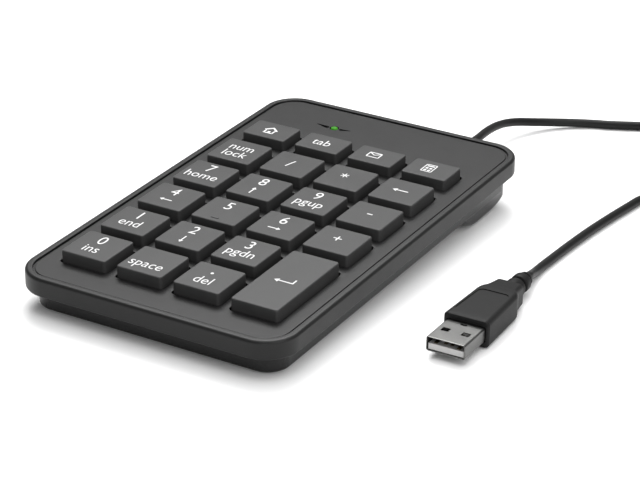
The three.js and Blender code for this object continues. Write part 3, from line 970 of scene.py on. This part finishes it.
GRIP = {"start": 12.5, "half": 7.1, "bottom": 0.0, "top": 8.4, "corner": 1.5}
POCKET = {"width": 12.4, "height": 4.9, "depth": 2.8}
METAL = {"width": 12.0, "height": 4.5, "wall": 0.35, "length": 15.0}


def lie_along(points, z=0.0):
    """Points with their height along the plug, turned into the plug's x, y and z, and raised by z."""
    return [(x, h, z + up) for x, up, h in points]


def grip_section(half, low, high, corner):
    return rounded(2 * half, high - low, corner, 6, 0, (low + high) / 2)


def grip_body():
    """The grip, its shoulders and its neck, with a pocket in the front for the metal shell."""
    start, half, corner = GRIP["start"], GRIP["half"], GRIP["corner"]
    bottom, top = GRIP["bottom"], GRIP["top"]
    stations = [
        (start, grip_section(half - 0.7, bottom + 0.8, top - 0.8, corner - 0.5)),
        (start + 0.2, grip_section(half - 0.3, bottom + 0.3, top - 0.3, corner - 0.2)),
        (start + 0.7, grip_section(half, bottom, top, corner)),
        (32.0, grip_section(6.35, 0.0, 8.4, 1.5)),
        (33.2, grip_section(6.2, 0.05, 8.35, 1.5)),
        (34.2, grip_section(5.85, 0.15, 8.3, 1.5)),
        (35.0, grip_section(5.4, 0.3, 8.2, 1.4)),
        (36.0, grip_section(4.95, 0.45, 8.1, 1.3)),
        (37.5, grip_section(4.7, 0.5, 8.0, 1.3)),
        (41.0, grip_section(4.3, 0.7, 7.6, 1.2)),
        (41.5, grip_section(3.8, 1.1, 7.1, 1.1)),
    ]
    body = Solid()
    rings = [body.ring(outline, along) for along, outline in stations]
    for a, b in zip(rings, rings[1:]):
        body.wall(a, b)
    pocket = rounded(POCKET["width"], POCKET["height"], 0.6, 6, 0, PLUG["axis"])
    mouth, floor = body.stack([(pocket, start), (pocket, start + POCKET["depth"])])
    body.cap(rings[0], [mouth])
    body.cap(floor)
    body.cap(rings[-1])
    body.points = lie_along(body.points)
    return body


def grip_collar():
    """The rings round the cord behind the neck, with deep grooves between them."""
    first = [(2.2, 40.5), (2.2, 42.1), (2.8, 42.3), (3.0, 42.6), (3.05, 43.1), (3.05, 45.2), (2.9, 45.6)]
    second = [(2.1, 45.8), (2.1, 46.9), (2.7, 47.1), (2.9, 47.4), (2.95, 47.9), (2.9, 49.6), (2.7, 50.0)]
    last = [(1.95, 50.2), (1.95, 51.0), (2.3, 51.2), (2.2, 52.0), (1.9, 52.5), (1.5, 52.5)]
    collar = lathe(first + second + last, 28)
    collar.points = lie_along(collar.points, PLUG["cord_axis"])
    return collar


def grip_panel():
    """What is cut from the grip's top: a shallow panel, narrower towards the cord."""
    outline = rounded(10.2, 15.5, 1.6, 6, 0, 23.5)
    return column([(x * (1.27 - 0.011 * y), y) for x, y in outline], GRIP["top"] - 0.25, 9)


def add_plug_grip():
    steps = [(grip_collar().mesh("collar", IN_PLUG), "UNION")]
    steps.append((grip_panel().mesh("panel", IN_PLUG), "DIFFERENCE"))
    mesh = combine("plug_grip", grip_body().mesh("grip_body", IN_PLUG), steps)
    show(mesh, "plug_grip", GRIP_RUBBER, "case", ["plug_overmould"])


add_plug_grip()


def add_plug_metal():
    """The plug's metal shell: a tube with a rounded mouth, two latch holes and a slot beside the grip."""
    wall, length = METAL["wall"], METAL["length"]

    def outline(inset):
        width, height = METAL["width"] - 2 * inset, METAL["height"] - 2 * inset
        return rounded(width, height, max(0.7 - inset, 0.25), 6, 0, PLUG["axis"])

    made = Solid()
    levels = [(0, length), (0, 0.25), (0.1, 0.05), (0.2, 0), (wall, 0.2), (wall, length)]
    rings = [made.ring(outline(inset), along) for inset, along in levels]
    for a, b in zip(rings, rings[1:] + rings[:1]):
        made.wall(a, b)
    made.points = lie_along(made.points)
    holes = [column(rounded(2.4, 2.1, 0.2, 3, x, 6.25), -1, 9) for x in (-3.1, 3.1)]
    slot = column(rounded(2.0, 0.9, 0.3, 3, 0, 11.15), PLUG["axis"], 9)
    cuts = [(cut.mesh(f"cut_{i}", IN_PLUG), "DIFFERENCE") for i, cut in enumerate([*holes, slot])]
    mesh = combine("plug_metal", made.mesh("metal_start", IN_PLUG), cuts)
    show(mesh, "plug_metal", NICKEL, "case", ["plug_shell"])


add_plug_metal()

# ---- strain relief and tie ----


def add_relief():
    """A boot of six ribs round the cord, each a little smaller than the one before."""
    groove = 0.35
    profile = [(2.3, 67.0), (2.3, 72.0)]
    for i in range(6):
        start, radius = 72.6 + 1.6 * i, 2.35 - 0.09 * i
        profile += [(radius - groove, start), (radius, start + 0.25)]
        profile += [(radius, start + 0.95), (radius - groove, start + 1.2)]
    profile += [(1.65, 82.5), (1.5, 82.8)]
    boot = lathe(profile, 28)
    boot.points = [(EXIT["x"] + x, h, EXIT["z"] + z) for x, z, h in boot.points]
    show(boot.mesh("cord_boot", IN_CASE), "cord_boot", CORD_RUBBER, "case", ["strain_relief"])


add_relief()

TIE = {"clear": 0.3, "thickness": 0.6, "width": 4.0, "turn": -75}


def add_tie():
    """A soft strap closed round all the turns of the coil, at one place on it."""
    thick, half, edge = TIE["thickness"], TIE["width"] / 2, 0.1
    across = (COIL["outer"] - COIL["inner"]) / 2 + TIE["clear"]
    up = (COIL["top"] - COIL["bottom"]) / 2 + TIE["clear"]
    middle = ((COIL["outer"] + COIL["inner"]) / 2, (COIL["top"] + COIL["bottom"]) / 2)
    inside = [(0, -half), (0, half)]
    outside = [(thick - edge, half), (thick, half - edge), (thick, edge - half), (thick - edge, -half)]
    made = Solid()
    rings = []
    for grown, along in inside + outside:
        outline = rounded(2 * (across + grown), 2 * (up + grown), 2 + grown, 6, *middle)
        rings.append(made.ring(outline, along))
    for a, b in zip(rings, rings[1:] + rings[:1]):
        made.wall(a, b)
    turn = Matrix.Rotation(math.radians(TIE["turn"]), 4, "Z") @ Matrix.Rotation(math.pi / 2, 4, "X")
    place = ON_DESK @ Matrix.Translation((COIL["x"], COIL["y"], 0)) @ turn
    show(made.mesh("tie_strap", place), "tie_strap", FOOT_RUBBER, "case", ["coil_tie"])


add_tie()

# ---- finishes on the CAD nodes that show as they are ----

NODE_FINISH = {
    "backplate": ZINC,
    "membrane_lower": FILM_PLASTIC,
    "membrane_spacer": FILM_PLASTIC,
    "membrane_upper": FILM_PLASTIC,
    "dome_mat": DOME_RUBBER,
    "controller_board": BOARD_GREEN,
    "controller_chip": CHIP_BLACK,
    # the diode takes the green with the painted glow too
    "status_diode": PAINTED_GLOW_GREEN,
    "enter_stabiliser": ZINC,
    "plug_tongue": WHITE_PLASTIC,
    **{f"plug_contact_{i}": GOLD for i in range(1, 5)},
    **{f"case_screw_{i}": ZINC for i in range(1, 7)},
}
for node, finish in NODE_FINISH.items():
    for material_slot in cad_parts[node].material_slots:
        material_slot.material = finish

# ---- floor and light ----


def add_floor():
    reach, drop = 3.0, 0.0001
    corners = [(-reach, -reach, 0), (reach, -reach, 0), (reach, reach, 0), (-reach, reach, 0)]
    mesh = bpy.data.meshes.new("floor")
    mesh.from_pydata(corners, [], [(0, 1, 2, 3)])
    mesh.materials.append(
        grained("floor_paper", grey(0.9), grey(0.92), 0.9, grain=1.5, depth=0.004, mottle=120)
    )
    floor = bpy.data.objects.new("floor", mesh)
    scene.collection.objects.link(floor)
    floor.location.z = -drop


add_floor()


def add_area(name, place, towards, size, power):
    """A rectangular lamp, in metres and watts, that faces a point."""
    data = bpy.data.lights.new(name, "AREA")
    data.shape = "RECTANGLE"
    data.size, data.size_y = size
    data.energy = power
    lamp = bpy.data.objects.new(name, data)
    scene.collection.objects.link(lamp)
    lamp.location = place
    lamp.rotation_euler = (Vector(towards) - Vector(place)).to_track_quat("-Z", "Y").to_euler()


add_area("overhead", (0.1, 0.1, 1.0), (0.05, 0.05, 0), (1.4, 1.2), 12)
add_area("behind", (-0.3, 0.46, 0.74), (0.03, -0.03, 0), (0.55, 0.45), 7.2)
add_area("front", (0.42, -0.8, 0.2), (0.02, -0.04, 0), (0.2, 0.2), 1)
add_area("right", (0.95, -0.35, 0.5), (0.02, 0, 0), (0.6, 0.6), 3.6)
world = bpy.data.worlds.new("world")
scene.world = world
world.use_nodes = True
background = world.node_tree.nodes["Background"]
background.inputs["Color"].default_value = (1, 1, 1, 1)
background.inputs["Strength"].default_value = 0.3
